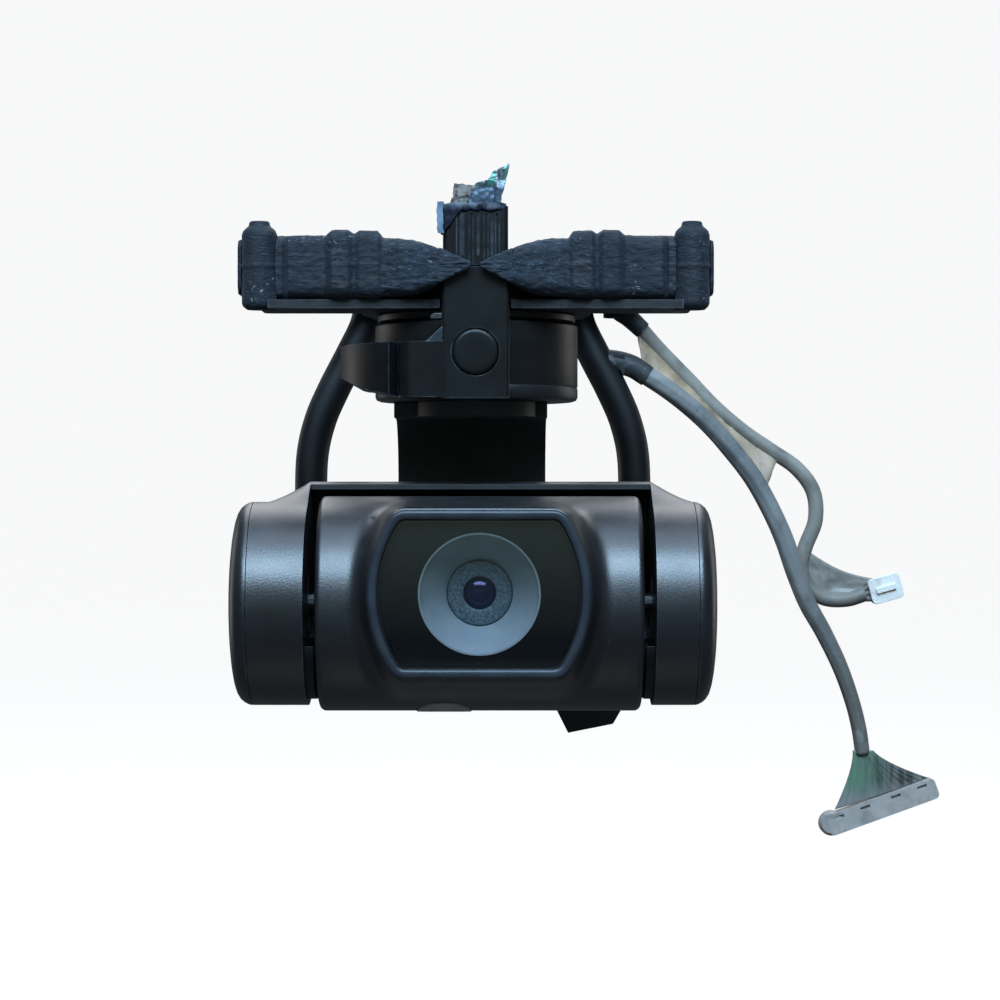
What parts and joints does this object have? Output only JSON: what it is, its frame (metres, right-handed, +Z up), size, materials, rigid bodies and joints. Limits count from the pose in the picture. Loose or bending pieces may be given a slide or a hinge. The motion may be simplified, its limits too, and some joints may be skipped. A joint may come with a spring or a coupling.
{
  "type": "drone camera gimbal",
  "caption": "Three-axis stabilised camera for a small folding quadcopter, hung from a rubber-damped plate, with its torn-off cables.",
  "frame": {"origin": "on the yaw axis, on the flat top of the damper plate's boss", "axes": "+Z up along the yaw axis, the lens looks along -Y, +X to the right as seen from in front of the lens"},
  "size_m": [0.0609, 0.0372, 0.0569],
  "materials": {
    "housing": "satin blue-black paint",
    "frame": "satin blue-black paint",
    "bezel": "satin blue-grey",
    "glass": "dark coated glass",
    "matte_black": "matte",
    "funnel": "satin",
    "lens": "violet-blue coating",
    "motor": "turned, dark anodised",
    "bracket": "satin dark paint",
    "plastic": "fine texture",
    "rubber": "dusty, fibrous",
    "steel": "polished",
    "magnet": "nickel plated",
    "core": "laminated and wound",
    "board": "solder mask",
    "flex": "satin film",
    "foil": "crumpled foil and pale blue tape",
    "cable": "grey-blue jacket",
    "plug": "off-white"
  },
  "bodies": {
    "base": {"damper_plate": "plastic", "retaining_plate": "plastic", "left_damper_sleeve": "rubber", "right_damper_sleeve": "rubber", "front_left_damper": "rubber", "front_right_damper": "rubber", "rear_left_damper": "rubber", "rear_right_damper": "rubber", "cable_tower": "plastic", "flex_stub": "flex", "foil_tape": "foil", "yaw_bracket": "bracket", "bracket_plug": "bracket", "yaw_motor_base": "motor", "yaw_stator": "core", "yaw_lower_bearing": "steel", "yaw_upper_bearing": "steel", "plate_screw_1": "steel", "plate_screw_2": "steel", "plate_screw_3": "steel", "guard_hoop": "plastic", "hoop_foot": "rubber", "cable_clip": "plastic", "cable_gland": "rubber", "signal_cable": "cable", "motor_cable": "cable", "signal_plug": "plug", "motor_plug": "plug"},
    "yaw_stage": {"yaw_arm": "plastic", "arm_flex": "flex", "yaw_rotor_can": "motor", "yaw_magnet_ring": "magnet", "yaw_shaft": "steel", "roll_stator": "core", "roll_bearing": "steel", "roll_rear_cover": "plastic", "rear_cover_screw_1": "steel", "rear_cover_screw_2": "steel"},
    "roll_stage": {"roll_frame": "frame", "left_end_cover": "frame", "right_end_cover": "frame", "left_tilt_bearing": "steel", "right_tilt_bearing": "steel", "tilt_stator": "core", "roll_rotor": "motor", "roll_magnet_ring": "magnet", "roll_shaft": "steel"},
    "camera": {"camera_front_shell": "housing", "camera_rear_shell": "housing", "bottom_plug": "plug", "window_bezel": "bezel", "window_glass": "glass", "lens_baffle": "funnel", "lens_barrel": "matte_black", "lens_element": "lens", "lens_holder": "plastic", "camera_board": "board", "tilt_shaft": "steel", "pivot_pin": "steel", "tilt_rotor": "magnet"}
  },
  "joints": [
    {"name": "yaw", "type": "hinge", "parent": "base", "child": "yaw_stage", "pos_m": [0, 0, -0.01], "axis": [0, 0, 1], "range_deg": [-30, 30]},
    {"name": "roll", "type": "hinge", "parent": "yaw_stage", "child": "roll_stage", "pos_m": [0, 0, -0.0299], "axis": [0, 1, 0], "range_deg": [-30, 30]},
    {"name": "tilt", "type": "hinge", "parent": "roll_stage", "child": "camera", "pos_m": [0, -0.005, -0.0299], "axis": [1, 0, 0], "range_deg": [-35, 95]}
  ]
}
